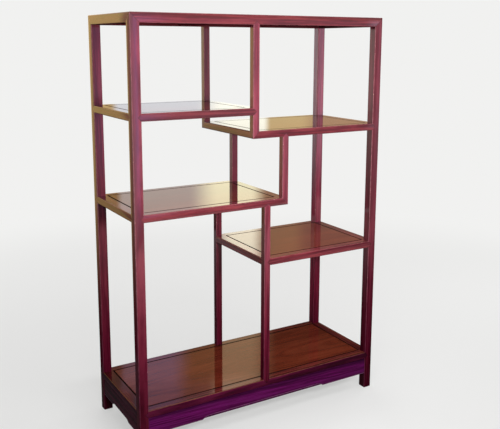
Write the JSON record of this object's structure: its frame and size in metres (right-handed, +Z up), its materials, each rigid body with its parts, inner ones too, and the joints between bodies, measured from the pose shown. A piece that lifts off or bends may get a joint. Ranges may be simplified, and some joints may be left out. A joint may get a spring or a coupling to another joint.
{
  "type": "display cabinet",
  "caption": "Tall open display cabinet in glossy rosewood: slim square frame with mitred joints, framed shelves at staggered heights on short uprights, shaped aprons and plain square feet.",
  "frame": {"origin": "on the floor, in the middle of the footprint", "axes": "+X to the right, +Y to the back, +Z up; front and back are alike, and the front is at -Y"},
  "size_m": [0.778, 0.304, 1.14],
  "materials": {
    "rosewood_upright": "gloss lacquer",
    "rosewood_rail": "gloss lacquer",
    "rosewood_apron": "gloss lacquer",
    "rosewood_panel": "gloss lacquer",
    "rosewood_batten": "satin"
  },
  "bodies": {
    "root": {"back_apron": "rosewood_apron", "bottom_shelf_back_rail": "rosewood_rail", "bottom_shelf_batten_1": "rosewood_batten", "bottom_shelf_batten_2": "rosewood_batten", "bottom_shelf_front_rail": "rosewood_rail", "bottom_shelf_left_rail": "rosewood_rail", "bottom_shelf_panel": "rosewood_panel", "bottom_shelf_right_rail": "rosewood_rail", "corner_post_back_left": "rosewood_upright", "corner_post_back_right": "rosewood_upright", "corner_post_front_left": "rosewood_upright", "corner_post_front_right": "rosewood_upright", "front_apron": "rosewood_apron", "left_apron": "rosewood_apron", "lower_divider_back": "rosewood_upright", "lower_divider_front": "rosewood_upright", "lower_right_shelf_back_rail": "rosewood_rail", "lower_right_shelf_batten": "rosewood_batten", "lower_right_shelf_front_rail": "rosewood_rail", "lower_right_shelf_left_rail": "rosewood_rail", "lower_right_shelf_panel": "rosewood_panel", "lower_right_shelf_right_rail": "rosewood_rail", "middle_divider_back": "rosewood_upright", "middle_divider_front": "rosewood_upright", "middle_left_shelf_back_rail": "rosewood_rail", "middle_left_shelf_batten": "rosewood_batten", "middle_left_shelf_front_rail": "rosewood_rail", "middle_left_shelf_left_rail": "rosewood_rail", "middle_left_shelf_panel": "rosewood_panel", "middle_left_shelf_right_rail": "rosewood_rail", "right_apron": "rosewood_apron", "top_back_rail": "rosewood_rail", "top_batten_1": "rosewood_batten", "top_batten_2": "rosewood_batten", "top_front_rail": "rosewood_rail", "top_left_rail": "rosewood_rail", "top_panel": "rosewood_panel", "top_right_rail": "rosewood_rail", "upper_divider_back": "rosewood_upright", "upper_divider_front": "rosewood_upright", "upper_left_shelf_back_rail": "rosewood_rail", "upper_left_shelf_batten": "rosewood_batten", "upper_left_shelf_front_rail": "rosewood_rail", "upper_left_shelf_left_rail": "rosewood_rail", "upper_left_shelf_panel": "rosewood_panel", "upper_left_shelf_right_rail": "rosewood_rail", "upper_right_shelf_back_rail": "rosewood_rail", "upper_right_shelf_batten": "rosewood_batten", "upper_right_shelf_front_rail": "rosewood_rail", "upper_right_shelf_left_rail": "rosewood_rail", "upper_right_shelf_panel": "rosewood_panel", "upper_right_shelf_right_rail": "rosewood_rail"}
  },
  "joints": []
}
